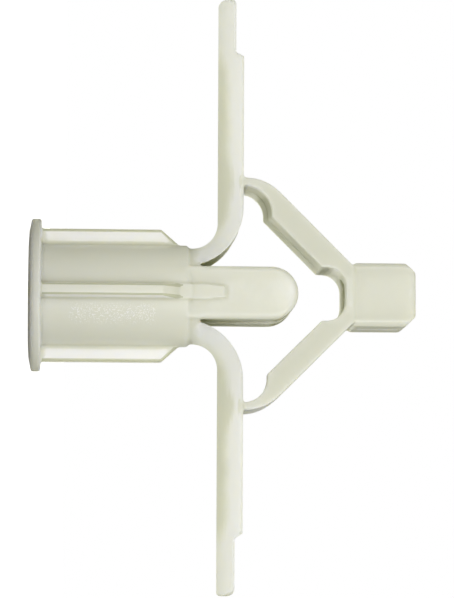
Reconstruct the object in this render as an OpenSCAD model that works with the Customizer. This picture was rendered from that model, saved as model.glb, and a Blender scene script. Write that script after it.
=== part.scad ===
// One-piece folding anchor for hollow walls, moulded in natural polypropylene.
// Z runs along the screw: the collar's outer face lies on Z = 0 and the head is on top.
// The wings spread along X, and the mould opens along Y.
// The shape is the spread one, as it grips behind the panel.

/* [Collar] */
// Outer diameter of the collar that stays in front of the panel
collar_d = 12; // [10.5:0.1:16]
// Thickness of the collar
collar_t = 0.95; // [0.8:0.05:1.6]
// Diameter of the flat part of the collar's outer face
collar_flat_d = 8.4; // [6.5:0.1:9]
// Drop of the outer face from the flat to the rim
collar_drop = 0.2; // [0.05:0.05:0.4]
// Rounding of the collar's rim
collar_edge = 0.18; // [0.05:0.01:0.25]

/* [Sleeve] */
// Outer diameter of the sleeve, which is the hole that the folded anchor goes through
sleeve_d = 8; // [7.4:0.1:9]
// Length of the sleeve under the collar
sleeve_l = 11.7; // [9:0.1:20]
// Diameter of the screw's bore
bore_d = 4.3; // [3.6:0.1:4.8]
// Diameter of the bore's mouth
mouth_d = 5.3; // [5:0.1:6.4]
// Step in radius from the sleeve to the wings' hinges
shoulder = 0.23; // [0.1:0.01:0.4]

/* [Fins] */
// Number of fins round the sleeve
fin_count = 4; // [4:4:8]
// Diameter over the fins
fin_span = 10.5; // [9.4:0.1:10.5]
// Thickness of a fin at its outer edge
fin_tip_w = 0.85; // [0.6:0.05:1]
// Thickness of a fin at the sleeve
fin_base_w = 1.15; // [1:0.05:1.4]
// Length of a fin's sloping end
fin_ramp = 1.4; // [0.8:0.1:2.5]
// Distance from the end of a fin's slope to the end of the sleeve
fin_gap = 0.85; // [0.3:0.05:1.5]

/* [Screw guides] */
// Width of the two guides beyond the sleeve, one in front of the screw and one behind it
guide_w = 4.14; // [3.8:0.02:4.3]
// Depth over both guides
guide_depth = 7.14; // [6.6:0.02:7.3]
// Length of the guides beyond the sleeve
guide_l = 8.4; // [6:0.1:8.7]
// Rounding of the guides' end edges
guide_edge = 0.4; // [0.1:0.05:0.6]
// Length of the rib that carries a fin on along each guide
rib_l = 2.7; // [1.5:0.1:5]
// Height of that rib above the sleeve's surface
rib_rise = 0.1; // [0.05:0.05:0.3]
// Drop of that rib's top where it passes from the sleeve to the guide
rib_step = 0.12; // [0.05:0.01:0.2]

/* [Wings] */
// Distance between the two wing tips
wing_span = 47; // [44:0.2:56]
// Width of a wing
wing_w = 6.2; // [5.6:0.1:6.3]
// Thickness of a wing
wing_t = 1.85; // [1.6:0.05:1.95]
// Inner radius of the bend between the sleeve and a wing
bend_r = 2.03; // [1.6:0.01:2.5]
// Outer radius of that bend, larger than the wing's thickness needs, which thins the hinge
bend_back_r = 4.7; // [4.4:0.05:5]
// Length of a wing's thin tip, which lies beside the head when folded
tip_l = 4.6; // [3:0.1:7]
// Thickness of that tip
tip_t = 1.25; // [1:0.05:1.5]
// Length of the slope between the thick and the thin part
tip_step = 0.4; // [0.2:0.05:0.8]
// Rounding of the tip's end on the side that carries the link
tip_edge = 0.45; // [0.2:0.05:0.6]
// Rounding of the tip's end on the side that lies against the panel
tip_heel = 0.25; // [0.1:0.05:0.35]
// Radius of a wing's two corners, seen from the wall
tip_corner = 1.6; // [0.6:0.1:2.8]

/* [Links] */
// Distance from the screw's axis to the outer side of the hinge between wing and link
hinge_x = 9.13; // [8.4:0.01:10]
// Thickness of that hinge
hinge_t = 0.6; // [0.4:0.05:0.9]
// Thickness of a link
link_t = 1.84; // [1.5:0.01:1.9]
// Width of a link
link_w = 6; // [5.4:0.1:6.1]
// Angle between a link and the screw's axis
link_angle = 45; // [42:0.5:50]
// Radius of the curve by which a link leaves the hinge
link_curve_r = 3.8; // [3:0.1:4.2]
// Length of the straight part of the hinge before that curve
hinge_l = 0.15; // [0.05:0.05:0.5]
// Radius of the hollow on the hinge's inner side, at its narrow end
hollow_r = 1.9; // [1.7:0.05:2.1]
// Growth of that radius across the link, which lets the mould's core out
hollow_flare = 0.35; // [0.1:0.05:0.4]

/* [Head] */
// Width of the head, between the wing tips when folded
head_w = 5; // [4.6:0.05:5.2]
// Depth of the head
head_depth = 5.8; // [5.4:0.1:6]
// Length of the head
head_l = 5; // [4:0.1:7]
// Chamfer at the far end of the head
head_nose = 0.8; // [0.3:0.05:1]
// Chamfer at the near end of the head
head_heel = 0.25; // [0.2:0.05:0.5]
// Rounding of the head's long edges
head_edge = 0.35; // [0.1:0.05:0.5]
// Diameter of the pilot hole that the screw cuts its thread in
pilot_d = 2.9; // [2.4:0.1:3.2]
// Thickness of the web that joins the links below the head
web_t = 0.5; // [0.4:0.05:1]
// Width of the opening between the links at that web
window_w = 4.2; // [3.6:0.1:4.3]
// Corner radius of that opening
window_r = 1.5; // [0.8:0.05:1.6]

/* [Hidden] */

CIRCLE_FN = 96;      // facets of the round surfaces
ARC_STEP = 7.5;      // degrees between the points of a profile's arcs
JOIN = 0.1;          // how far one portion of the moulding reaches into the next
CUT = 1;             // how far a cut runs past what it cuts

// The collar and the sleeve
collar_r = collar_d / 2;
flat_r = collar_flat_d / 2;
sleeve_r = sleeve_d / 2;
bore_r = bore_d / 2;
sleeve_top = collar_t + sleeve_l;
fin_r = fin_span / 2;
fin_top = sleeve_top - fin_gap;
fin_root = sleeve_r - 0.4;      // radius inside the sleeve from which a fin rises

// The wings: their convex side is part of the round of radius core_r
core_r = sleeve_r - shoulder;
bend_x = core_r + bend_r;                  // axis of the bend
bend_z = sleeve_top + shoulder;
wing_z = bend_z + bend_r;                  // the face that lies against the panel
wing_back_z = wing_z + wing_t;             // the face that carries the link
guide_x = guide_w / 2;
guide_top = sleeve_top + guide_l;
back_x = guide_x + bend_back_r;            // axis of the bend's outer curve
back_z = wing_back_z - bend_back_r;
crotch_z = sleeve_top + 0.7;               // bottom of the slit between guide and wing
tip_x = wing_span / 2;
step_x = tip_x - tip_l;

// The links: the outer side starts at the hinge and ends at the head's heel
link_start_z = wing_back_z + hinge_l;
link_line_x = hinge_x - link_curve_r * (1 - cos(link_angle));
link_line_z = link_start_z + link_curve_r * sin(link_angle);
link_end_x = head_w / 2 - 0.8 * head_heel;
head_z = link_line_z + (link_line_x - link_end_x) / tan(link_angle);
head_top = head_z + head_l;
web_z = head_z - web_t;
window_x = window_w / 2;
hinge_in_x = hinge_x - hinge_t;            // the hinge's inner side

// Height of a link's inner side at the distance x from the axis, and the other way round
inner_reach = link_line_z + link_line_x / tan(link_angle) - link_t / sin(link_angle);
function inner_z(x) = inner_reach - x / tan(link_angle);
function inner_x(z) = (inner_reach - z) * tan(link_angle);
foot_x = min(hinge_in_x, inner_x(wing_back_z));

// Points of an arc round [x, z], from angle a to angle b
function arc(x, z, r, a, b) =
    let (steps = max(2, ceil(abs(b - a) / ARC_STEP)))
    [for (i = [0 : steps]) let (t = a + (b - a) * i / steps) [x + r * cos(t), z + r * sin(t)]];

// A profile in X and Z, given the depth d along Y
module profile_solid(points, d) {
    rotate([90, 0, 0])
        linear_extrude(height = d, center = true) polygon(points);
}

// The same, with the profile in Y and Z and the width w along X
module side_solid(points, w) {
    rotate([90, 0, 90])
        linear_extrude(height = w, center = true) polygon(points);
}

// A square-ended section in X and Y with cut corners, from z0 to z1
module cut_corner_bar(x, y, c, z0, z1) {
    translate([0, 0, z0])
        linear_extrude(height = z1 - z0)
            polygon([
                [x, y - c], [x - c, y], [c - x, y], [-x, y - c],
                [-x, c - y], [c - x, -y], [x - c, -y], [x, c - y]
            ]);
}

// Collar with a flat, slightly falling and round-edged outer face
module collar() {
    fall_w = collar_r - collar_edge - flat_r;
    fall_r = (fall_w * fall_w + collar_drop * collar_drop) / (2 * collar_drop);
    fall_angle = asin(fall_w / fall_r);
    top_edge = 0.08;
    rotate_extrude($fn = CIRCLE_FN)
        polygon(concat(
            [[0, 0]],
            arc(flat_r, fall_r, fall_r, -90, -90 + fall_angle),
            arc(collar_r - collar_edge, collar_drop + collar_edge, collar_edge, -60, 0),
            [[collar_r, collar_t - top_edge], [collar_r - top_edge, collar_t], [0, collar_t]]
        ));
}

// Round body under the collar, stepped in at the end where the hinges begin
module sleeve() {
    translate([0, 0, collar_t - JOIN])
        cylinder(r = sleeve_r, h = sleeve_l - shoulder + JOIN, $fn = CIRCLE_FN);
    translate([0, 0, sleeve_top - shoulder])
        cylinder(r1 = sleeve_r, r2 = core_r, h = shoulder, $fn = CIRCLE_FN);
}

// Tapered fin along +X that keeps the anchor from turning in the hole
module fin() {
    crown = 0.12;
    intersection() {
        translate([0, 0, collar_t - JOIN])
            linear_extrude(height = fin_top)
                polygon([
                    [fin_root, -fin_base_w / 2], [sleeve_r, -fin_base_w / 2],
                    [fin_r - crown, -fin_tip_w / 2], [fin_r, crown - fin_tip_w / 2],
                    [fin_r, fin_tip_w / 2 - crown], [fin_r - crown, fin_tip_w / 2],
                    [sleeve_r, fin_base_w / 2], [fin_root, fin_base_w / 2]
                ]);
        profile_solid([
            [0, 0], [fin_r + CUT, 0],
            [fin_r + CUT, fin_top - fin_ramp], [fin_r, fin_top - fin_ramp],
            [sleeve_r, fin_top], [0, fin_top]
        ], 2 * fin_base_w);
    }
}

module fins() {
    for (i = [0 : fin_count - 1])
        rotate([0, 0, 360 * i / fin_count]) fin();
}

// The two guides as one bar, which the bore then parts into a front and a back one
module guides() {
    z0 = sleeve_top - shoulder - JOIN;
    y = guide_depth / 2;
    intersection() {
        profile_solid(concat(
            [[-guide_x, z0], [guide_x, z0]],
            arc(0, guide_top - guide_x, guide_x, 0, 180)
        ), guide_depth);
        side_solid(concat(
            [[-y, z0], [y, z0]],
            arc(y - guide_edge, guide_top - guide_edge, guide_edge, 0, 90),
            arc(guide_edge - y, guide_top - guide_edge, guide_edge, 90, 180)
        ), guide_w);
        cut_corner_bar(guide_x, y, 0.15, z0, guide_top);
    }
}

// Low rib that carries the front and the back fin on along the guides. Its top steps
// down past the sleeve's end, and its end narrows and slopes to the guide.
module ribs() {
    y0 = sleeve_r + rib_rise;
    y1 = y0 - rib_step;
    y2 = y1 - 0.2;
    z0 = fin_top - fin_ramp;
    z1 = sleeve_top + rib_l;
    x0 = fin_base_w / 2;
    x1 = fin_tip_w / 2;
    intersection() {
        side_solid([
            [-y0, z0], [y0, z0], [y0, sleeve_top], [y1, sleeve_top + rib_step],
            [y1, z1 - 0.2], [y2, z1], [-y2, z1], [-y1, z1 - 0.2],
            [-y1, sleeve_top + rib_step], [-y0, sleeve_top]
        ], fin_base_w);
        profile_solid([
            [-x0, z0], [x0, z0], [x0, sleeve_top + rib_l / 2], [x1, z1],
            [-x1, z1], [-x0, sleeve_top + rib_l / 2]
        ], 2 * y0);
    }
}

// The round that the hinge, the bend and the wing are cut from, along +X
module wing_round() {
    translate([0, 0, sleeve_top - shoulder - JOIN])
        cylinder(r = core_r, h = 2 * shoulder + JOIN, $fn = CIRCLE_FN);
    translate([bend_x, 0, bend_z])
        rotate([90, 0, 0]) rotate([0, 0, 90])
            rotate_extrude(angle = 90, $fn = CIRCLE_FN)
                translate([bend_x, 0]) circle(r = core_r, $fn = CIRCLE_FN);
    translate([bend_x, 0, wing_z + core_r])
        rotate([0, 90, 0])
            cylinder(r = core_r, h = tip_x - bend_x + CUT, $fn = CIRCLE_FN);
}

// Outline of the wing from the side: its back, its stepped tip and, well clear of the
// round that shapes the front, the way back to the sleeve
function wing_outline() =
    let (
        z0 = sleeve_top - shoulder - JOIN,
        tip_z = wing_z + tip_t,
        heel = 60,
        start = 180 - asin((crotch_z - back_z) / bend_back_r)
    )
    concat(
        [[guide_x / 2, z0], [guide_x / 2, crotch_z]],
        arc(back_x, back_z, bend_back_r, start, 90),
        [[step_x - tip_step / 2, wing_back_z], [step_x + tip_step / 2, tip_z]],
        arc(tip_x - tip_edge, tip_z - tip_edge, tip_edge, 90, 0),
        arc(tip_x - tip_heel, wing_z + tip_heel, tip_heel, 0, -heel),
        [[tip_x - 3 * tip_heel, wing_z - tip_heel], [bend_x, wing_z - tip_heel], [bend_x, z0]]
    );

// Outline of the wing from the wall: straight sides and round corners
module wing_plan() {
    y = wing_w / 2;
    polygon(concat(
        [[0, -y]],
        arc(tip_x - tip_corner, tip_corner - y, tip_corner, -90, 0),
        arc(tip_x - tip_corner, y - tip_corner, tip_corner, 0, 90),
        [[0, y]]
    ));
}

module wing() {
    intersection() {
        wing_round();
        profile_solid(wing_outline(), wing_w);
        linear_extrude(height = wing_back_z + CUT) wing_plan();
    }
}

// Half of the yoke: the web at the head, the link and its hinge on the wing
module link() {
    foot_z = wing_back_z - JOIN;
    difference() {
        profile_solid(concat(
            [[hinge_x, foot_z]],
            arc(hinge_x - link_curve_r, link_start_z, link_curve_r, 0, link_angle),
            [
                [link_end_x, head_z], [link_end_x, head_z + JOIN],
                [-JOIN, head_z + JOIN], [-JOIN, web_z]
            ],
            arc(window_x - window_r, web_z - window_r, window_r, 90, 0),
            [[window_x, inner_z(window_x)], [foot_x, inner_z(foot_x)], [foot_x, foot_z]]
        ), link_w);
        hollow();
    }
}

// Hollow that thins the link to its hinge. Its section keeps touching the hinge's inner
// side while it grows along Y, from the front of this link to its back.
module hollow() {
    growth = hollow_flare * CUT / link_w;
    wide_r = hollow_r + hollow_flare + growth;
    narrow_r = hollow_r - growth;
    translate([hinge_in_x, link_w / 2 + CUT, wing_back_z])
        rotate([90, 0, 0])
            linear_extrude(height = link_w + 2 * CUT, scale = narrow_r / wide_r)
                polygon(arc(-wide_r, 0, wide_r, -180, 180 - ARC_STEP));
}

// Block that the screw pulls on
module head() {
    x = head_w / 2;
    y = head_depth / 2;
    intersection() {
        profile_solid([
            [head_heel - x, head_z], [x - head_heel, head_z], [x, head_z + head_heel],
            [x, head_top - head_nose], [x - head_nose, head_top],
            [head_nose - x, head_top], [-x, head_top - head_nose], [-x, head_z + head_heel]
        ], head_depth);
        side_solid(concat(
            arc(y - head_edge, head_z + head_edge, head_edge, -90, 0),
            arc(y - head_edge, head_top - head_edge, head_edge, 0, 90),
            arc(head_edge - y, head_top - head_edge, head_edge, 90, 180),
            arc(head_edge - y, head_z + head_edge, head_edge, 180, 270)
        ), head_w);
        cut_corner_bar(x, y, head_edge, head_z, head_top);
    }
}

// The screw's way: a mouth in the collar, the bore and the pilot hole in the head
module screw_way() {
    mouth_h = (mouth_d - bore_d) / 2;
    translate([0, 0, -CUT])
        cylinder(r = bore_r, h = guide_top + 2 * CUT, $fn = CIRCLE_FN);
    translate([0, 0, -CUT])
        cylinder(r1 = mouth_d / 2 + CUT, r2 = bore_r, h = mouth_h + CUT, $fn = CIRCLE_FN);
    translate([0, 0, web_z - CUT])
        cylinder(d = pilot_d, h = head_top - web_z + 2 * CUT, $fn = CIRCLE_FN);
}

// The whole moulding
module anchor() {
    color([0.79, 0.79, 0.71])
        difference() {
            union() {
                collar();
                sleeve();
                fins();
                guides();
                ribs();
                for (turn = [0, 180]) rotate([0, 0, turn]) {
                    wing();
                    link();
                }
                head();
            }
            screw_way();
        }
}

anchor();
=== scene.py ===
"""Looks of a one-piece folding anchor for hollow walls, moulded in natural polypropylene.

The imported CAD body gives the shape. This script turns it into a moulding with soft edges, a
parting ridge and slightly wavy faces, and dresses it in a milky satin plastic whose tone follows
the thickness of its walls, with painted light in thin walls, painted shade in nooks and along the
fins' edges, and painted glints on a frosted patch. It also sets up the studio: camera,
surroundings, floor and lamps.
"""

import logging
import math
from dataclasses import dataclass, field
from enum import Enum
from functools import partial, reduce

import bmesh
import bpy
import numpy as np
from mathutils import Matrix, Vector
from mathutils.bvhtree import BVHTree


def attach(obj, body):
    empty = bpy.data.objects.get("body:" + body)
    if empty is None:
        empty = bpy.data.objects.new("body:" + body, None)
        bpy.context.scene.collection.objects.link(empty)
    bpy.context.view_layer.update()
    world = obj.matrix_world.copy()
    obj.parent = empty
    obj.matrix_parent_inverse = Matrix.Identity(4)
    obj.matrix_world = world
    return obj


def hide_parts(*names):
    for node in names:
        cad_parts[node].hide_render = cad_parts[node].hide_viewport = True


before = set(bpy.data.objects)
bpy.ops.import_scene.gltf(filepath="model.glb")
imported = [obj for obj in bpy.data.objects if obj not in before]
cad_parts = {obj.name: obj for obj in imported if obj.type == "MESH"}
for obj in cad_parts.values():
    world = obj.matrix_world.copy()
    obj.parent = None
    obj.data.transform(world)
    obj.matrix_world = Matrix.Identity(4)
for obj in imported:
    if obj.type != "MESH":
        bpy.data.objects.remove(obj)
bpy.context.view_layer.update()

MM = 0.001
RIGHT_ANGLE = 90.0
NODE = "anchor"
BODY = "root"
PICTURE_SIZE = (454, 598)

log = logging.getLogger("anchor")

Colour = tuple[float, float, float]
Point = tuple[float, float, float]
Value = float | tuple | bpy.types.Material | bpy.types.NodeSocket

BLACK: Colour = (0.0, 0.0, 0.0)
WHITE: Colour = (1.0, 1.0, 1.0)


class Measure(Enum):
    """What a mesh stores at each of its points, by the attribute's name."""

    WALL = "wall"
    NOOK = "nook"


# ---------------------------------------------------------------- node helpers


def rgba(colour: Colour) -> tuple[float, float, float, float]:
    """Gives a solid colour as sockets take it."""
    return (*colour, 1.0)


def by_identifier(sockets: bpy.types.bpy_prop_collection, identifier: str) -> bpy.types.NodeSocket:
    """Finds the socket with that identifier among sockets that share a name."""
    return next(socket for socket in sockets if socket.identifier == identifier)


@dataclass
class Tree:
    """A short way to write a node tree.

    Attributes:
        tree: The node tree that gets the nodes.
    """

    tree: bpy.types.NodeTree

    def add(
        self, kind: str, inputs: dict[int | str, Value] | None = None, **settings: object
    ) -> bpy.types.Node:
        """Adds a node, sets its properties, and then sets or links its inputs.

        Args:
            kind: The node's type name.
            inputs: Socket name or index to a value, or to the output socket to link from.
            **settings: Properties of the node itself.

        Returns:
            The new node.
        """
        node = self.tree.nodes.new(kind)
        for name, value in settings.items():
            setattr(node, name, value)
        for key, value in (inputs or {}).items():
            self.put(node.inputs[key], value)
        return node

    def put(self, socket: bpy.types.NodeSocket, value: Value) -> None:
        """Sets or links one socket.

        Args:
            socket: The input socket.
            value: Its value, or the output socket to link from.
        """
        if isinstance(value, bpy.types.NodeSocket):
            self.tree.links.new(value, socket)
        else:
            socket.default_value = value

    def math(self, operation: str, *values: Value) -> bpy.types.NodeSocket:
        """Adds a Math node and gives its result."""
        node = self.add("ShaderNodeMath", dict(enumerate(values)), operation=operation)
        return node.outputs[0]

    def product(self, *values: Value) -> bpy.types.NodeSocket:
        """Multiplies values, such as masks, one after the other."""
        return reduce(partial(self.math, "MULTIPLY"), values)

    def off_axis(self, x: Value, y: Value) -> bpy.types.NodeSocket:
        """Adds the distance from the screw's axis."""
        squares = [self.math("POWER", value, 2.0) for value in (x, y)]
        return self.math("SQRT", self.math("ADD", *squares))

    def step(self, value: Value, low: Value, high: Value) -> bpy.types.NodeSocket:
        """Adds a smooth step.

        Args:
            value: What is measured.
            low: Where the step is 0. It may lie above high.
            high: Where the step is 1.

        Returns:
            The step, between 0 and 1.
        """
        limits = {"Value": value, "From Min": low, "From Max": high}
        node = self.add("ShaderNodeMapRange", limits, interpolation_type="SMOOTHSTEP")
        return node.outputs["Result"]

    def mix(self, factor: Value, a: Value, b: Value) -> bpy.types.NodeSocket:
        """Adds a colour mix.

        Args:
            factor: 0 for the first colour, 1 for the second.
            a: The first colour.
            b: The second colour.

        Returns:
            The mixed colour.
        """
        node = self.add("ShaderNodeMix", data_type="RGBA")
        for identifier, value in (("Factor_Float", factor), ("A_Color", a), ("B_Color", b)):
            self.put(by_identifier(node.inputs, identifier), value)
        return by_identifier(node.outputs, "Result_Color")

    def noise(
        self, place: Value, scale: Value, detail: float, roughness: float
    ) -> bpy.types.NodeSocket:
        """Adds a noise texture and gives its value, between 0 and 1."""
        inputs = {"Vector": place, "Scale": scale, "Detail": detail, "Roughness": roughness}
        return self.add("ShaderNodeTexNoise", inputs).outputs["Fac"]

    def parts(self, vector: Value) -> bpy.types.NodeOutputs:
        """Splits a vector into X, Y and Z."""
        return self.add("ShaderNodeSeparateXYZ", {0: vector}).outputs

    def measured(self, measure: Measure) -> bpy.types.NodeSocket:
        """Adds a reader of what the mesh stores."""
        return self.add("ShaderNodeAttribute", attribute_name=measure.value).outputs["Fac"]


def new_group(
    name: str,
    kind: str,
    inputs: dict[str, tuple[str, Value | None]],
    outputs: dict[str, str],
) -> Tree:
    """Makes an empty node group with named sockets.

    Args:
        name: The group's name.
        kind: ShaderNodeTree or GeometryNodeTree.
        inputs: Socket name to its type and default value.
        outputs: Socket name to its type.

    Returns:
        The group's tree, which has its input and output nodes.
    """
    group = bpy.data.node_groups.new(name, kind)
    for label, (socket_type, default) in inputs.items():
        socket = group.interface.new_socket(label, in_out="INPUT", socket_type=socket_type)
        if default is not None:
            socket.default_value = default
    for label, socket_type in outputs.items():
        group.interface.new_socket(label, in_out="OUTPUT", socket_type=socket_type)
    group.nodes.new("NodeGroupInput")
    group.nodes.new("NodeGroupOutput")
    return Tree(group)


def new_material(name: str) -> tuple[bpy.types.Material, Tree]:
    """Makes an empty material.

    Args:
        name: The material's name.

    Returns:
        The material, and its tree without nodes.
    """
    material = bpy.data.materials.new(name)
    material.use_nodes = True
    material.node_tree.nodes.clear()
    return material, Tree(material.node_tree)


# ---------------------------------------------------------------- object and mesh helpers


def new_object(name: str, data: bpy.types.ID) -> bpy.types.Object:
    """Makes an object and puts it in the scene.

    Args:
        name: The object's name.
        data: Its mesh, lamp or camera.

    Returns:
        The object.
    """
    item = bpy.data.objects.new(name, data)
    bpy.context.scene.collection.objects.link(item)
    return item


def bake(piece: bpy.types.Object) -> None:
    """Turns a piece's modifiers into its mesh.

    Args:
        piece: The piece, which has no modifiers left afterwards.
    """
    seen = piece.evaluated_get(bpy.context.evaluated_depsgraph_get())
    mesh = bpy.data.meshes.new_from_object(seen)
    piece.modifiers.clear()
    old = piece.data
    piece.data = mesh
    bpy.data.meshes.remove(old)


def read(
    items: bpy.types.bpy_prop_collection, name: str, width: int, kind: type = float
) -> np.ndarray:
    """Reads a property of many items.

    Args:
        items: The items, such as a mesh's points.
        name: The property's name.
        width: How many numbers it has.
        kind: What they are.

    Returns:
        The numbers, one row for each item.
    """
    values = np.empty(len(items) * width, dtype=kind)
    items.foreach_get(name, values)
    return values.reshape(-1, width)


def edge_ends(mesh: bpy.types.Mesh) -> np.ndarray:
    """Gives the two points of each edge."""
    return read(mesh.edges, "vertices", 2, np.int32)


def neighbours(values: np.ndarray, ends: np.ndarray) -> np.ndarray:
    """Averages each point's values over the points that share an edge with it.

    Args:
        values: One row for each point.
        ends: The two points of each edge.

    Returns:
        The averages, one row for each point.
    """
    count = len(values)
    degree = np.bincount(ends.ravel(), minlength=count)
    total = np.empty_like(values)
    for column in range(values.shape[1]):
        total[:, column] = np.bincount(ends[:, 0], values[ends[:, 1], column], count)
        total[:, column] += np.bincount(ends[:, 1], values[ends[:, 0], column], count)
    return total / np.maximum(degree, 1)[:, None]


def cone(axes: np.ndarray, lean: float, count: int) -> list[np.ndarray]:
    """Spreads rays evenly round each axis. Cones of another lean start at another turn.

    Args:
        axes: One axis for each point.
        lean: How far the rays lean from the axis, in degrees.
        count: How many rays there are round an axis.

    Returns:
        For each ray of a point, its direction at every point.
    """
    nearly_along = 0.9
    near_x = np.abs(axes[:, :1]) >= nearly_along
    other = np.where(near_x, (0.0, 1.0, 0.0), (1.0, 0.0, 0.0))
    across = np.cross(axes, other)
    across /= np.linalg.norm(across, axis=1, keepdims=True)
    up = np.cross(axes, across)
    start = lean / RIGHT_ANGLE
    turns = [math.tau * (start + i) / count for i in range(count)]
    sides = [math.cos(turn) * across + math.sin(turn) * up for turn in turns]
    angle = math.radians(lean)
    return [math.cos(angle) * axes + math.sin(angle) * side for side in sides]


def ray_lengths(
    tree: BVHTree, starts: np.ndarray, rays: list[np.ndarray], most: float
) -> np.ndarray:
    """Measures how far each ray goes before it meets the mesh.

    Args:
        tree: The mesh.
        starts: Where each point's rays start.
        rays: For each ray of a point, its direction at every point.
        most: The length of a ray that meets nothing, in metres.

    Returns:
        The lengths, one row for each ray of a point.
    """
    origins = starts.tolist()
    found = np.full((len(rays), len(origins)), most)
    for k, ray in enumerate(rays):
        for i, (origin, way) in enumerate(zip(origins, ray.tolist())):
            length = tree.ray_cast(origin, way, most)[3]
            if length is not None:
                found[k, i] = length
    return found


# ---------------------------------------------------------------- the plastic


@dataclass(frozen=True)
class MouldedSkin:
    """The skin that a spark-eroded mould leaves: a fine grain, specks and faint clouds.

    Attributes:
        grain_scale: Grains to a metre.
        speck_scale: Specks to a metre.
        cloud_scale: Clouds to a metre.
        speck: Values of its noise at which a speck starts and is full.
        cloud: Values of its noise at which a cloud starts and is full.
    """

    grain_scale: float = 9000.0
    speck_scale: float = 9500.0
    cloud_scale: float = 420.0
    speck: tuple[float, float] = (0.55, 0.66)
    cloud: tuple[float, float] = (0.3, 0.7)

    def group(self) -> bpy.types.NodeTree:
        """Builds the skin as a node group.

        Returns:
            The group, with Height, Speck and Cloud between 0 and 1.
        """
        t = new_group(
            "moulded_skin",
            "ShaderNodeTree",
            {
                "Vector": ("NodeSocketVector", (0.0, 0.0, 0.0)),
                "Grain Scale": ("NodeSocketFloat", self.grain_scale),
                "Speck Scale": ("NodeSocketFloat", self.speck_scale),
                "Cloud Scale": ("NodeSocketFloat", self.cloud_scale),
            },
            dict.fromkeys(("Height", "Speck", "Cloud"), "NodeSocketFloat"),
        )
        given = t.tree.nodes["Group Input"].outputs
        made = t.tree.nodes["Group Output"].inputs
        place = given["Vector"]
        grain = t.noise(place, given["Grain Scale"], detail=2.0, roughness=0.6)
        speck = t.noise(place, given["Speck Scale"], detail=1.0, roughness=0.4)
        cloud = t.noise(place, given["Cloud Scale"], detail=3.0, roughness=0.55)
        t.put(made["Height"], grain)
        t.put(made["Speck"], t.step(speck, *self.speck))
        t.put(made["Cloud"], t.step(cloud, *self.cloud))
        return t.tree


@dataclass(frozen=True)
class FrostAndGlintPatch:
    """A patch of the sleeve on which the mould's skin is coarser and rougher, and whose specks are
    painted near-white as glints.

    It lies between two fins, and once more on the opposite side of the sleeve.

    Attributes:
        side: Distances from the middle plane at which it starts and ends, in metres.
        height: Heights at which it starts and ends, in metres.
        soft: Width of its faint border, in metres.
        reach: Distance from the axis beyond which nothing is frosted, in metres.
    """

    side: tuple[float, float] = (1.35 * MM, 2.1 * MM)
    height: tuple[float, float] = (3.6 * MM, 9.6 * MM)
    soft: float = 0.6 * MM
    reach: float = 4.3 * MM

    def mask(self, t: Tree, place: bpy.types.NodeSocket) -> bpy.types.NodeSocket:
        """Adds the patch's mask to a material.

        Args:
            t: The material's tree.
            place: The Object coordinates.

        Returns:
            The mask, between 0 and 1.
        """
        x, y, z = t.parts(place)
        between_fins = t.math("LESS_THAN", t.product(x, y), 0.0)
        on_sleeve = t.math("LESS_THAN", t.off_axis(x, y), self.reach)
        mask = t.product(between_fins, on_sleeve)
        for value, (low, high) in ((t.math("ABSOLUTE", x), self.side), (z, self.height)):
            started = t.step(value, low - self.soft, low)
            not_ended = t.step(value, high + self.soft, high)
            mask = t.product(mask, started, not_ended)
        return mask


@dataclass(frozen=True)
class FinEdgeShade:
    """A painted shade: a dark stripe along the fins' outer edges, where light leaves them sideways.

    Attributes:
        radius: Distance from the axis to the outer edge, in metres.
        slope: Height at which the edge starts to slope inwards, in metres.
        lean: Run of the slope for a metre along the axis.
        stripe: Depths below the edge at which the painted dark stripe is nothing and full, in
            metres.
        off_middle: Distance from the fin's middle plane beyond which it lies, in metres.
        foot: Distance from the axis up to which the sleeve has no stripe, in metres.
        height: Heights at which it starts and ends, in metres.
    """

    radius: float = 5.25 * MM
    slope: float = 10.4 * MM
    lean: float = 0.893
    stripe: tuple[float, float] = (0.28 * MM, 0.15 * MM)
    off_middle: float = 0.3 * MM
    foot: float = 4.12 * MM
    height: tuple[float, float] = (1.1 * MM, 12.0 * MM)

    def mask(self, t: Tree, place: bpy.types.NodeSocket) -> bpy.types.NodeSocket:
        """Adds the mask of the painted dark stripe to a material.

        Args:
            t: The material's tree.
            place: The Object coordinates.

        Returns:
            The mask, between 0 and 1.
        """
        x, y, z = t.parts(place)
        radius = t.off_axis(x, y)
        off_middle = t.math("MINIMUM", t.math("ABSOLUTE", x), t.math("ABSOLUTE", y))
        low, high = self.height
        on_fin = t.product(
            t.math("GREATER_THAN", z, low),
            t.math("LESS_THAN", z, high),
            t.math("GREATER_THAN", off_middle, self.off_middle),
            t.math("GREATER_THAN", radius, self.foot),
        )
        above_slope = t.math("MAXIMUM", t.math("SUBTRACT", z, self.slope), 0.0)
        edge = t.math("SUBTRACT", self.radius, t.product(above_slope, self.lean))
        return t.product(on_fin, t.step(t.math("SUBTRACT", edge, radius), *self.stripe))


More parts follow.
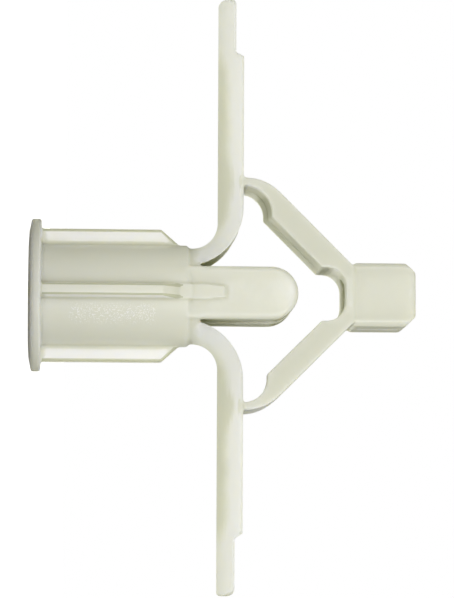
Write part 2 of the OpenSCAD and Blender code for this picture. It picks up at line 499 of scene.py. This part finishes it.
@dataclass(frozen=True)
class NaturalPolypropylene:
    """Uncoloured polypropylene: milky, a little see-through, with a satin skin, and with painted
    light and shade in its colour.

    Attributes:
        clear: Colour of a thin wall, painted near-white as painted light, as if lit through from
            behind.
        milk: Colour of a wall of the sleeve's thickness.
        dense: Colour of a thick wall.
        walls: Thicknesses of those three walls, in metres.
        cloud: Thickness that a cloud seems to add to a wall, in metres.
        painted_shade: Colour of the painted shade in nooks and along the fins' edges.
        nook: Shares of the view that is blocked, at which the painted shade of a nook starts and is
            full.
        edge_share: Share of the painted shade along the fins' edges.
        bright: Colour of a painted glint on a frosted speck.
        glint_share: Share of that painted glint's colour in a speck.
        scatter: How far red, green and blue light wander inside, relative to each other.
        scatter_length: That distance for red, in metres.
        refraction: How much the plastic bends light.
        gloss: Roughness of a smooth stretch.
        matt: Roughness of a frosted speck.
        grain: Height of the grain, in metres.
        grain_strength: Share of the grain's relief that shows.
        speck_height: Height of a speck, in heights of the grain.
    """

    clear: Colour = (0.98, 0.98, 0.96)
    milk: Colour = (0.775, 0.78, 0.70)
    dense: Colour = (0.705, 0.71, 0.625)
    walls: tuple[float, float, float] = (1.15 * MM, 2.0 * MM, 4.6 * MM)
    cloud: float = 0.15 * MM
    painted_shade: Colour = (0.50, 0.51, 0.37)
    nook: tuple[float, float] = (0.35, 0.85)
    edge_share: float = 0.85
    bright: Colour = (0.97, 0.97, 0.96)
    glint_share: float = 0.8
    scatter: Colour = (1.0, 0.95, 0.80)
    scatter_length: float = 1.7 * MM
    refraction: float = 1.49
    gloss: float = 0.33
    matt: float = 0.50
    grain: float = 0.004 * MM
    grain_strength: float = 0.5
    speck_height: float = 4.0

    def material(
        self, name: str, skin: bpy.types.NodeTree, patch: FrostAndGlintPatch, edge: FinEdgeShade
    ) -> bpy.types.Material:
        """Builds the material.

        Args:
            name: The material's name.
            skin: The group that gives grain, specks and clouds.
            patch: The frosted patch, whose specks carry painted glints.
            edge: The painted dark stripe along the fins' edges.

        Returns:
            The material, which reads Object coordinates, the walls' thickness and the nooks.
        """
        material, t = new_material(name)
        place = t.add("ShaderNodeTexCoord").outputs["Object"]
        surface = t.add("ShaderNodeGroup", {"Vector": place}, node_tree=skin).outputs
        # Painted shade: nooks, where the moulding blocks much of the view, and the fins' edges get
        # a darker olive colour.
        nook = t.step(t.measured(Measure.NOOK), *self.nook)
        shade = t.math("MAXIMUM", nook, t.product(edge.mask(t, place), self.edge_share))
        tone = t.mix(shade, self.wall_tone(t, surface["Cloud"]), rgba(self.painted_shade))
        # Painted glints: on the frosted patch the specks are lightened towards near-white; they are
        # also rougher and raised by the bump.
        frost_and_glint = t.product(surface["Speck"], patch.mask(t, place))
        tone = t.mix(t.product(frost_and_glint, self.glint_share), tone, rgba(self.bright))
        finish = {"Value": frost_and_glint, "To Min": self.gloss, "To Max": self.matt}
        height = t.math("MULTIPLY_ADD", frost_and_glint, self.speck_height, surface["Height"])
        relief = {"Height": height, "Strength": self.grain_strength, "Distance": self.grain}
        shader = t.add(
            "ShaderNodeBsdfPrincipled",
            {
                "Base Color": tone,
                "Roughness": t.add("ShaderNodeMapRange", finish).outputs["Result"],
                "Normal": t.add("ShaderNodeBump", relief).outputs["Normal"],
                "IOR": self.refraction,
                "Subsurface Weight": 1.0,
                "Subsurface Radius": self.scatter,
                "Subsurface Scale": self.scatter_length,
            },
            subsurface_method="RANDOM_WALK",
        )
        t.add("ShaderNodeOutputMaterial", {"Surface": shader.outputs["BSDF"]})
        return material

    def wall_tone(self, t: Tree, cloud: bpy.types.NodeSocket) -> bpy.types.NodeSocket:
        """Adds the colour that the thickness of the wall gives: the plastic's deeper tone in thick
        walls, and painted light in thin walls, which are whitened as if lit through from behind.

        Args:
            t: The material's tree.
            cloud: The skin's clouds.

        Returns:
            The colour.
        """
        wall = t.math("MULTIPLY_ADD", cloud, self.cloud, t.measured(Measure.WALL))
        thin, middle, thick = self.walls
        # Painted light: thin walls go towards near-white as if lit through from behind; thicker
        # walls go towards the plastic's deeper tone.
        tone = t.mix(t.step(wall, thin, middle), rgba(self.clear), rgba(self.milk))
        return t.mix(t.step(wall, middle, thick), tone, rgba(self.dense))


# ---------------------------------------------------------------- the moulding


@dataclass(frozen=True)
class WallGauge:
    """Measures how thick the wall is under each point of a mesh, and how much faces the point.

    Attributes:
        reach: The most that it measures inwards, in metres.
        lean: How far the rays round the straight one lean, in degrees.
        inner_rays: How many rays lean round the straight one.
        under: Depth below the skin at which the rays inwards start, in metres.
        shortest: The least that a ray inwards counts for, in metres.
        view: How far it looks outwards, in metres.
        view_leans: How far the rays outwards lean, in degrees.
        outer_rays: How many rays outwards have each of those leans.
        above: Height above the skin at which the rays outwards start, in metres.
        rounds: Rounds of averaging over the neighbours.
    """

    reach: float = 6.0 * MM
    lean: float = 35.0
    inner_rays: int = 3
    under: float = 0.02 * MM
    shortest: float = 0.1 * MM
    view: float = 6.2 * MM
    view_leans: tuple[float, ...] = (20.0, 50.0)
    outer_rays: int = 5
    above: float = 0.05 * MM
    rounds: int = 6

    def mark(self, mesh: bpy.types.Mesh) -> None:
        """Stores both measures as attributes of the mesh.

        Args:
            mesh: The mesh, made of triangles.
        """
        place = read(mesh.vertices, "co", 3)
        normal = read(mesh.vertex_normals, "vector", 3)
        tree = BVHTree.FromPolygons(place.tolist(), [tuple(p.vertices) for p in mesh.polygons])
        found = {
            Measure.WALL: self.walls(tree, place, normal),
            Measure.NOOK: self.nooks(tree, place, normal),
        }
        ends = edge_ends(mesh)
        for measure, values in found.items():
            smooth = values[:, None]
            for _ in range(self.rounds):
                smooth = (smooth + neighbours(smooth, ends)) / 2
            layer = mesh.attributes.new(measure.value, "FLOAT", "POINT")
            layer.data.foreach_set("value", smooth.astype(np.float32).ravel())

    def walls(self, tree: BVHTree, place: np.ndarray, normal: np.ndarray) -> np.ndarray:
        """Measures the wall under each point, straight inwards and all around.

        Args:
            tree: The mesh.
            place: Its points.
            normal: Their normals.

        Returns:
            The thickness under each point, in metres.
        """
        rays = [-normal, *cone(-normal, self.lean, self.inner_rays)]
        depth = ray_lengths(tree, place - self.under * normal, rays, self.reach)
        straight = depth[0]
        around = len(rays) / (1.0 / np.maximum(depth, self.shortest)).sum(axis=0)
        return (straight + around) / 2

    def nooks(self, tree: BVHTree, place: np.ndarray, normal: np.ndarray) -> np.ndarray:
        """Measures how much of each point's view the moulding itself blocks, which the plastic
        turns into painted shade.

        Args:
            tree: The mesh.
            place: Its points.
            normal: Their normals.

        Returns:
            The share that is blocked, between 0 and 1.
        """
        rays = [ray for lean in self.view_leans for ray in cone(normal, lean, self.outer_rays)]
        clear = ray_lengths(tree, place + self.above * normal, rays, self.view)
        return (clear < self.view).mean(axis=0)


@dataclass(frozen=True)
class MouldMarks:
    """What the mould leaves on the faces: a ridge where its halves meet, and slight waves.

    Attributes:
        ridge_height: Height of the ridge, in metres.
        ridge_width: Width of the ridge, in metres.
        bore_radius: Distance from the axis inside which a pin shaped the part, without a ridge.
        face_height: Height up to which the collar's outer face has no ridge, in metres.
        wave_height: Height of the waves, in metres.
        wave_scale: Waves to a metre.
        seed: Seed of the waves.
    """

    ridge_height: float = 0.035 * MM
    ridge_width: float = 0.14 * MM
    bore_radius: float = 2.5 * MM
    face_height: float = 0.25 * MM
    wave_height: float = 0.02 * MM
    wave_scale: float = 330.0
    seed: float = 7.0

    def sizes(self) -> dict[str, float]:
        """Gives the sizes by the names of the geometry tree's inputs."""
        return {
            "Ridge Height": self.ridge_height,
            "Ridge Width": self.ridge_width,
            "Bore Radius": self.bore_radius,
            "Face Height": self.face_height,
            "Wave Height": self.wave_height,
            "Wave Scale": self.wave_scale,
            "Seed": self.seed,
        }

    def tree(self, material: bpy.types.Material) -> bpy.types.NodeTree:
        """Builds the geometry tree.

        Args:
            material: The material that the result gets.

        Returns:
            The tree, with its sizes as named inputs.
        """
        sizes = {name: ("NodeSocketFloat", size) for name, size in self.sizes().items()}
        t = new_group(
            "mould_marks",
            "GeometryNodeTree",
            {"Geometry": ("NodeSocketGeometry", None), **sizes},
            {"Geometry": "NodeSocketGeometry"},
        )
        given = t.tree.nodes["Group Input"].outputs
        place = t.add("GeometryNodeInputPosition").outputs[0]
        normal = t.add("GeometryNodeInputNormal").outputs[0]
        x, y, z = t.parts(place)
        half_width = t.product(given["Ridge Width"], 0.5)
        ridge = t.product(
            t.step(t.math("ABSOLUTE", y), half_width, 0.0),
            t.math("GREATER_THAN", t.math("ABSOLUTE", x), given["Bore Radius"]),
            t.math("GREATER_THAN", z, given["Face Height"]),
            given["Ridge Height"],
        )
        noise = t.add(
            "ShaderNodeTexNoise",
            {"Vector": place, "W": given["Seed"], "Scale": given["Wave Scale"], "Detail": 1.0},
            noise_dimensions="4D",
        ).outputs["Fac"]
        wave = t.product(t.math("SUBTRACT", noise, 0.5), given["Wave Height"])
        rise = {0: normal, "Scale": t.math("ADD", ridge, wave)}
        offset = t.add("ShaderNodeVectorMath", rise, operation="SCALE").outputs["Vector"]
        shape = given["Geometry"]
        for kind, inputs in (
            ("GeometryNodeSetPosition", {"Offset": offset}),
            ("GeometryNodeSetShadeSmooth", {}),
            ("GeometryNodeRealizeInstances", {}),
            ("GeometryNodeSetMaterial", {"Material": material}),
        ):
            shape = t.add(kind, {0: shape, **inputs}).outputs[0]
        t.put(t.tree.nodes["Group Output"].inputs[0], shape)
        return t.tree

    def press(self, piece: bpy.types.Object, material: bpy.types.Material) -> None:
        """Puts the marks on a piece, and leaves them in its mesh.

        Args:
            piece: The piece.
            material: The material that it gets.
        """
        modifier = piece.modifiers.new("mould_marks", "NODES")
        modifier.node_group = self.tree(material)
        sizes = self.sizes()
        for item in modifier.node_group.interface.items_tree:
            if item.in_out == "INPUT" and item.name in sizes:
                modifier[item.identifier] = sizes[item.name]
        bake(piece)


@dataclass(frozen=True)
class GuideEdges:
    """The long edges of the two screw guides, well rounded to slip through the hole.

    Attributes:
        half_width: Half of a guide's width, in metres.
        half_depth: Distance from the middle plane to a guide's outer face, in metres.
        top: Height of the guides' round ends, in metres.
        root: Heights between which the rounding starts, in metres.
        radius: Radius of the rounding, in metres.
        least: Least distance from a guide's middle line that is divided by, in metres.
    """

    half_width: float = 2.07 * MM
    half_depth: float = 3.57 * MM
    top: float = 21.05 * MM
    root: tuple[float, float] = (13.3 * MM, 14.0 * MM)
    radius: float = 0.45 * MM
    least: float = 0.01 * MM

    def ease(self, place: np.ndarray) -> None:
        """Moves the points near those edges onto the rounding.

        Args:
            place: The points, one row each, which this changes.
        """
        x, y, z = place.T.copy()
        rise = np.maximum(z - (self.top - self.half_width), 0.0)
        out = np.maximum(np.hypot(x, rise), self.least)
        side = out - (self.half_width - self.radius)
        front = np.abs(y) - (self.half_depth - self.radius)
        length = np.maximum(np.hypot(side, front), self.radius)
        at_edge = (side > 0.0) & (side < 2.0 * self.radius) & (front > 0.0)
        on_guide = z < self.top + self.radius
        start, full = self.root
        grown = np.clip((z - start) / (full - start), 0.0, 1.0)
        pull = (at_edge & on_guide) * grown * (1.0 - self.radius / length)
        place[:, 0] -= pull * side * x / out
        place[:, 1] -= pull * front * np.sign(y)
        place[:, 2] -= pull * side * rise / out


@dataclass(frozen=True)
class SoftMoulding:
    """The anchor's moulding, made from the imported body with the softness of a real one.

    Attributes:
        weld: Distance within which loose corners are one point, in metres.
        voxel: Grid of the even mesh, in metres.
        relax_steps: Rounds of smoothing, which round the edges.
        relax_pulls: Shares of the way to its neighbours that a point goes, in and back out.
        share: Share of the triangles that stays after thinning.
        snap: Distance from a cut within which a point lies on it, in metres.
        guides: The guides' edges.
        marks: What the mould leaves on the faces.
        gauge: What measures the walls.
    """

    weld: float = 0.0005 * MM
    voxel: float = 0.11 * MM
    quick_voxel: float = 0.22 * MM
    relax_steps: int = 9
    relax_pulls: tuple[float, float] = (0.5, -0.52)
    share: float = 0.37
    snap: float = 0.002 * MM
    guides: GuideEdges = field(default_factory=GuideEdges)
    marks: MouldMarks = field(default_factory=MouldMarks)
    gauge: WallGauge = field(default_factory=WallGauge)

    def build(self, material: bpy.types.Material) -> bpy.types.Object:
        """Builds the moulding.

        Args:
            material: The plastic.

        Returns:
            The new object, with its place in its mesh.
        """
        piece = self.merged_copy()
        self.remesh(piece)
        self.relax(piece.data)
        self.thin_out(piece)
        self.split(piece.data)
        self.gauge.mark(piece.data)
        self.marks.press(piece, material)
        return piece

    def merged_copy(self) -> bpy.types.Object:
        """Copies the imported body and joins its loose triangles.

        Returns:
            The new object.
        """
        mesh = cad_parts[NODE].data.copy()
        mesh.materials.clear()
        work = bmesh.new()
        work.from_mesh(mesh)
        bmesh.ops.remove_doubles(work, verts=work.verts, dist=self.weld)
        work.to_mesh(mesh)
        work.free()
        return new_object("anchor_moulding", mesh)

    def remesh(self, piece: bpy.types.Object) -> None:
        """Gives the piece an even mesh on the voxel grid.

        Args:
            piece: The piece.
        """
        modifier = piece.modifiers.new("even", "REMESH")
        modifier.mode = "VOXEL"
        modifier.voxel_size = self.voxel
        bake(piece)

    def relax(self, mesh: bpy.types.Mesh) -> None:
        """Rounds the edges without shrinking the piece, by steps in and out.

        Args:
            mesh: The piece's mesh.
        """
        place = read(mesh.vertices, "co", 3)
        ends = edge_ends(mesh)
        for _ in range(self.relax_steps):
            for pull in self.relax_pulls:
                place += pull * (neighbours(place, ends) - place)
        self.guides.ease(place)
        mesh.vertices.foreach_set("co", place.ravel())
        mesh.update()

    def thin_out(self, piece: bpy.types.Object) -> None:
        """Thins the mesh where it is flat.

        Args:
            piece: The piece.
        """
        modifier = piece.modifiers.new("thin", "DECIMATE")
        modifier.ratio = self.share
        bake(piece)

    def split(self, mesh: bpy.types.Mesh) -> None:
        """Gives the ridge between the mould's halves its points.

        Args:
            mesh: The piece's mesh, which is made of triangles afterwards.
        """
        work = bmesh.new()
        work.from_mesh(mesh)
        half_width = 0.5 * self.marks.ridge_width
        for y in (-half_width, 0.0, half_width):
            bmesh.ops.bisect_plane(
                work,
                geom=work.verts[:] + work.edges[:] + work.faces[:],
                dist=self.snap,
                plane_co=(0.0, y, 0.0),
                plane_no=(0.0, 1.0, 0.0),
            )
        bmesh.ops.triangulate(work, faces=work.faces)
        work.to_mesh(mesh)
        work.free()


# ---------------------------------------------------------------- the studio


@dataclass(frozen=True)
class Viewpoint:
    """The camera, which sees the anchor lying with its head to the right.

    Attributes:
        target: The point on the axis that the camera and the lamps look at, in metres.
        distance: From the camera to that point, in metres.
        tilt: How far the camera stands round the axis from the front, in degrees.
        rise: How far it looks up along the axis, in degrees.
        roll: How far the picture turns, in degrees.
        scale: Pixels to a millimetre at the target.
        target_pixel: Where the target lies in the picture.
        sight: The nearest and the farthest that it sees, in metres.
    """

    target: Point = (0.0, 0.0, 15.7 * MM)
    distance: float = 237 * MM
    tilt: float = 5.89
    rise: float = 3.07
    roll: float = 0.54
    scale: float = 12.66
    target_pixel: tuple[float, float] = (227.75, 296.81)
    sight: tuple[float, float] = (10 * MM, 50.0)

    def build(self) -> bpy.types.Object:
        """Places the camera.

        Returns:
            The camera, which is the scene's.
        """
        tilt, rise, roll = (math.radians(angle) for angle in (self.tilt, self.rise, self.roll))
        front = Vector((math.sin(tilt), -math.cos(tilt), 0.0))
        across = Vector((math.cos(tilt), math.sin(tilt), 0.0))
        axis = Vector((0.0, 0.0, 1.0))
        along = math.sin(rise) * front + math.cos(rise) * axis
        back = math.cos(rise) * front - math.sin(rise) * axis
        right = math.cos(roll) * along - math.sin(roll) * across
        down = math.sin(roll) * along + math.cos(roll) * across
        to_right, to_down = (
            (pixel - size / 2) / self.scale * MM
            for pixel, size in zip(self.target_pixel, PICTURE_SIZE)
        )
        data = bpy.data.cameras.new("camera")
        data.lens = data.sensor_width * self.scale * self.distance / MM / max(PICTURE_SIZE)
        data.clip_start, data.clip_end = self.sight
        camera = new_object("camera", data)
        turn = Matrix((right, -down, back)).transposed()
        place = Vector(self.target) + self.distance * back - to_right * right - to_down * down
        camera.matrix_world = Matrix.Translation(place) @ turn.to_4x4()
        bpy.context.scene.camera = camera
        return camera


@dataclass(frozen=True)
class Surroundings:
    """What lies around the anchor. It looks white, but shines from above alone.

    Attributes:
        light: Colour of the light from above.
        rise: Sines of the angle above the horizon between which that light grows.
    """

    light: Colour = (0.575, 0.58, 0.42)
    rise: tuple[float, float] = (0.2, 0.9)

    def build(self) -> None:
        """Makes the scene's world."""
        world = bpy.data.worlds.new("surroundings")
        world.use_nodes = True
        world.node_tree.nodes.clear()
        t = Tree(world.node_tree)
        height = t.parts(t.add("ShaderNodeTexCoord").outputs["Generated"])["Z"]
        light = t.mix(t.step(height, *self.rise), rgba(BLACK), rgba(self.light))
        seen = t.add("ShaderNodeLightPath").outputs["Is Camera Ray"]
        shade = t.add("ShaderNodeBackground", {"Color": t.mix(seen, light, rgba(WHITE))})
        t.add("ShaderNodeOutputWorld", {"Surface": shade.outputs["Background"]})
        bpy.context.scene.world = world


@dataclass(frozen=True)
class PaleFloor:
    """The floor that the anchor stands on, which looks white and shines back at the anchor.

    Attributes:
        reach: From its middle to each edge, in metres.
        glow: How brightly it shines by itself where it is seen.
        paper: Its colour where it is seen, which takes the anchor's shadow.
        shine: Colour of the light that it sends back at the anchor.
        foot: Distances from the axis between which that light grows, in metres: a painted shadow,
            which dims the floor's light near the anchor's foot.
    """

    reach: float = 4.0
    glow: float = 0.93
    paper: Colour = (0.4, 0.4, 0.4)
    shine: Colour = (0.71, 0.715, 0.60)
    foot: tuple[float, float] = (1.0 * MM, 15.0 * MM)

    def build(self) -> bpy.types.Object:
        """Lays the floor.

        Returns:
            The floor, which isn't part of the anchor.
        """
        mesh = bpy.data.meshes.new("floor")
        signs = ((-1, -1), (1, -1), (1, 1), (-1, 1))
        corners = [(x * self.reach, y * self.reach, 0.0) for x, y in signs]
        mesh.from_pydata(corners, [], [(0, 1, 2, 3)])
        mesh.materials.append(self.material())
        floor = new_object("floor", mesh)
        return floor

    def material(self) -> bpy.types.Material:
        """Builds the floor's material.

        Returns:
            The material, which the camera sees as pale paper.
        """
        material, t = new_material("pale_floor")
        glow = t.add("ShaderNodeEmission", {"Color": rgba(WHITE), "Strength": self.glow})
        paper = t.add("ShaderNodeBsdfDiffuse", {"Color": rgba(self.paper)})
        bright = t.add("ShaderNodeAddShader", {0: glow.outputs[0], 1: paper.outputs[0]})
        place = t.add("ShaderNodeTexCoord").outputs["Object"]
        reach = t.add("ShaderNodeVectorMath", {0: place}, operation="LENGTH").outputs["Value"]
        # Painted shadow: the light sent back at the anchor is dimmed near the axis, standing in for
        # the anchor's own shadow on the floor.
        strength = t.step(reach, *self.foot)
        shine = t.add("ShaderNodeEmission", {"Color": rgba(self.shine), "Strength": strength})
        seen = t.add("ShaderNodeLightPath").outputs["Is Camera Ray"]
        both = t.add("ShaderNodeMixShader", {0: seen, 1: shine.outputs[0], 2: bright.outputs[0]})
        t.add("ShaderNodeOutputMaterial", {"Surface": both.outputs[0]})
        return material


@dataclass(frozen=True)
class SoftBox:
    """A soft lamp that shines on the anchor.

    Attributes:
        name: The lamp's name.
        place: Where it stands, in metres.
        size: Its edge, in metres.
        power: Its power, in watts.
        colour: Its colour.
        mirrored: Whether glossy faces reflect it.
    """

    name: str
    place: Point
    size: float
    power: float
    colour: Colour = WHITE
    mirrored: bool = True

    def build(self, target: Vector) -> bpy.types.Object:
        """Places the lamp.

        Args:
            target: The point that it is turned to.

        Returns:
            The lamp, which the camera doesn't see.
        """
        data = bpy.data.lights.new(self.name, "AREA")
        data.shape = "SQUARE"
        data.size = self.size
        data.energy = self.power
        data.color = self.colour
        lamp = new_object(self.name, data)
        lamp.location = self.place
        lamp.rotation_euler = (target - lamp.location).to_track_quat("-Z", "Y").to_euler()
        lamp.visible_camera = False
        lamp.visible_glossy = self.mirrored
        return lamp


@dataclass(frozen=True)
class Studio:
    """Camera, surroundings, floor and lamps.

    Attributes:
        view: The camera.
        surroundings: What lies around the anchor.
        floor: What the anchor stands on.
        lamps: The lamps.
    """

    view: Viewpoint = field(default_factory=Viewpoint)
    surroundings: Surroundings = field(default_factory=Surroundings)
    floor: PaleFloor = field(default_factory=PaleFloor)
    lamps: tuple[SoftBox, ...] = (
        SoftBox("key", (0.10, -0.24, 0.08), size=0.16, power=0.28, colour=(0.99, 0.98, 1.06)),
        SoftBox("fill", (-0.12, -0.22, 0.06), size=0.16, power=0.14, colour=(0.99, 0.97, 1.04)),
        SoftBox("side", (0.13, -0.10, 0.11), size=0.10, power=0.018),
        SoftBox(
            "back", (0.0, 0.28, 0.06), size=0.30, power=0.9, colour=(1.0, 1.0, 0.88), mirrored=False
        ),
    )

    def build(self) -> None:
        """Builds the whole studio."""
        self.view.build()
        self.surroundings.build()
        self.floor.build()
        for lamp in self.lamps:
            lamp.build(Vector(self.view.target))
        bpy.context.scene.view_settings.view_transform = "Standard"


def main() -> None:
    """Builds the studio and the anchor."""
    logging.basicConfig(level=logging.INFO, format="%(name)s: %(message)s")
    studio = Studio()
    studio.build()
    log.info("studio: camera, surroundings, floor and %d lamps", len(studio.lamps))
    plastic = NaturalPolypropylene().material(
        "natural_polypropylene", MouldedSkin().group(), FrostAndGlintPatch(), FinEdgeShade()
    )
    moulding = SoftMoulding().build(plastic)
    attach(moulding, BODY)
    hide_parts(NODE)
    log.info("%s: %d triangles", moulding.name, len(moulding.data.polygons))


if __name__ == "__main__":
    main()
